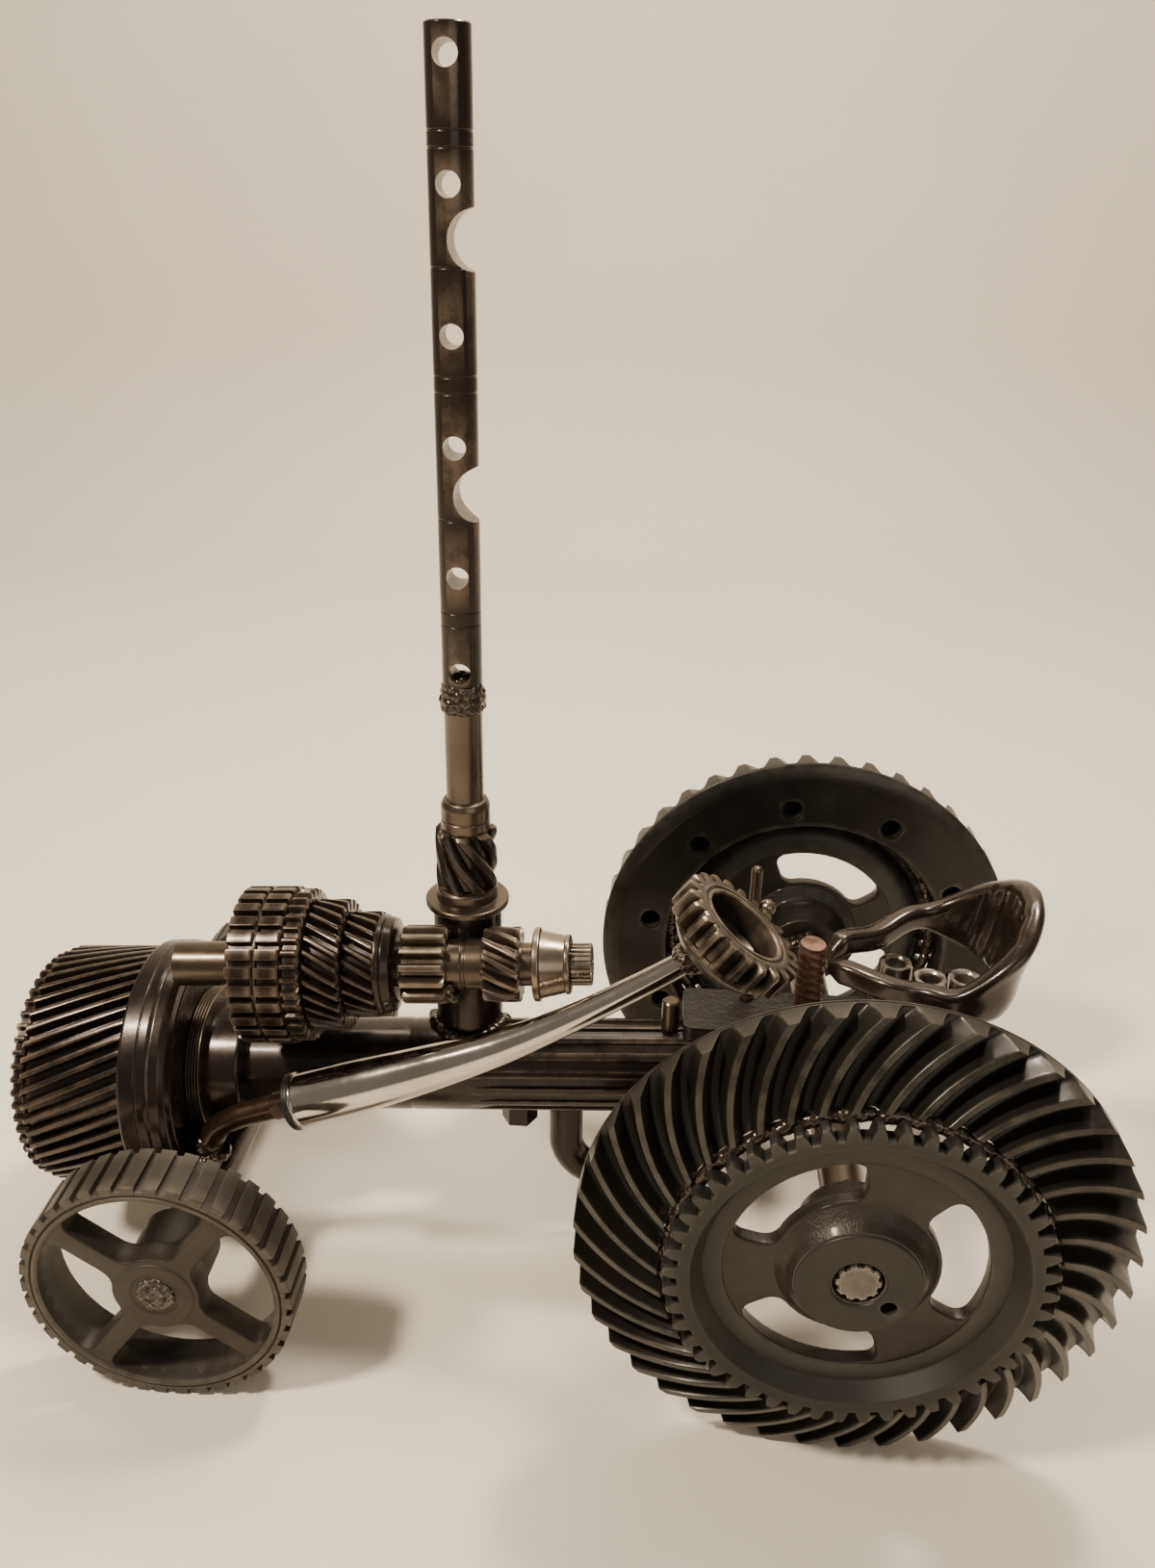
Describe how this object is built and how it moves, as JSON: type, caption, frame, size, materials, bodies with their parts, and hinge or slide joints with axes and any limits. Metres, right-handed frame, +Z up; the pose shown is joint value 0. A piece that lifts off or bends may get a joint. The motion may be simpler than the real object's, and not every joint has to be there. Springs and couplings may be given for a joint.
{
  "type": "gearbox part tractor sculpture",
  "caption": "Table-top tractor welded from gearbox parts: crown wheel rear wheels, belt pulley front wheels, splined shaft chassis, laid shaft engine, rocker shaft exhaust.",
  "frame": {"origin": "on the ground, under the middle of the bounding box", "axes": "+X towards the tractor rear, +Y towards its right side (far from the picture), +Z up"},
  "size_m": [0.4754, 0.2644, 0.5266],
  "materials": {
    "lacquered_steel": "gloss clear lacquer over dark oiled steel",
    "machined_grey": "dark machined steel, semi-matt, with grime",
    "worn_steel": "bright worn steel under lacquer",
    "chrome": "bright chrome plate",
    "brown_rod": "brown lacquered steel",
    "black_rubber": "dull black rubber",
    "rusty_steel": "rusty threaded steel",
    "weld_steel": "rough weld bead under lacquer",
    "cast_steel": "rough dark cast steel",
    "forged_steel": "glossy brown forged steel"
  },
  "bodies": {
    "tractor_frame": {"chassis_shaft": "lacquered_steel", "front_helical_gear": "lacquered_steel", "front_dog_ring": "lacquered_steel", "front_plain_ring": "lacquered_steel", "front_step_ring": "lacquered_steel", "threaded_collar": "lacquered_steel", "thrust_ring": "lacquered_steel", "laid_shaft": "worn_steel", "double_clutch_hub": "lacquered_steel", "dog_tooth_ring": "lacquered_steel", "spur_pinion": "lacquered_steel", "tapered_bearing_race": "worn_steel", "exhaust_post": "lacquered_steel", "post_foot_weld": "weld_steel", "stack_flange_race": "lacquered_steel", "stack_pinion_shaft": "lacquered_steel", "stack_weld": "weld_steel", "rocker_shaft_pipe": "lacquered_steel", "lever_ball": "chrome", "lever_lower_rod": "brown_rod", "lever_grommet": "black_rubber", "lever_chrome_sleeve": "chrome", "steering_wheel_gear": "forged_steel", "deck_plate": "lacquered_steel", "seat_screw": "rusty_steel", "seat_nuts": "lacquered_steel", "seat_shift_fork": "forged_steel", "control_rod": "lacquered_steel", "control_ball": "chrome", "deck_stud": "lacquered_steel", "drawbar_pipe": "lacquered_steel", "drawbar_bolt": "lacquered_steel", "front_axle_tube": "lacquered_steel"},
    "front_axle_set": {"front_axle": "lacquered_steel", "front_pulley_left": "machined_grey", "front_pulley_right": "machined_grey", "front_hub_weld_left": "weld_steel", "front_hub_weld_right": "weld_steel"},
    "rear_axle_set": {"rear_axle": "worn_steel", "ring_gear_left": "machined_grey", "ring_gear_right": "machined_grey", "sprocket_left": "cast_steel", "sprocket_right": "cast_steel", "ring_tack_welds_left": "weld_steel", "ring_tack_welds_right": "weld_steel", "rear_hub_weld_left": "weld_steel", "rear_hub_weld_right": "weld_steel"},
    "large_gear_body": {"large_speed_gear": "lacquered_steel"},
    "small_gear_body": {"small_speed_gear": "lacquered_steel", "synchro_cone": "worn_steel"}
  },
  "joints": [
    {"name": "rear_axle_spin", "type": "hinge", "parent": "tractor_frame", "child": "rear_axle_set", "pos_m": [0.12975, 0, 0.108], "axis": [0, 1, 0], "continuous": true},
    {"name": "front_axle_spin", "type": "hinge", "parent": "tractor_frame", "child": "front_axle_set", "pos_m": [-0.15085, 0, 0.0575], "axis": [0, 1, 0], "continuous": true},
    {"name": "large_gear_spin", "type": "hinge", "parent": "tractor_frame", "child": "large_gear_body", "pos_m": [-0.09266, -0.014, 0.15929], "axis": [0.9983, 0, 0.0589], "continuous": true},
    {"name": "small_gear_spin", "type": "hinge", "parent": "tractor_frame", "child": "small_gear_body", "pos_m": [-0.07768, -0.014, 0.16018], "axis": [0.9983, 0, 0.0589], "continuous": true}
  ]
}
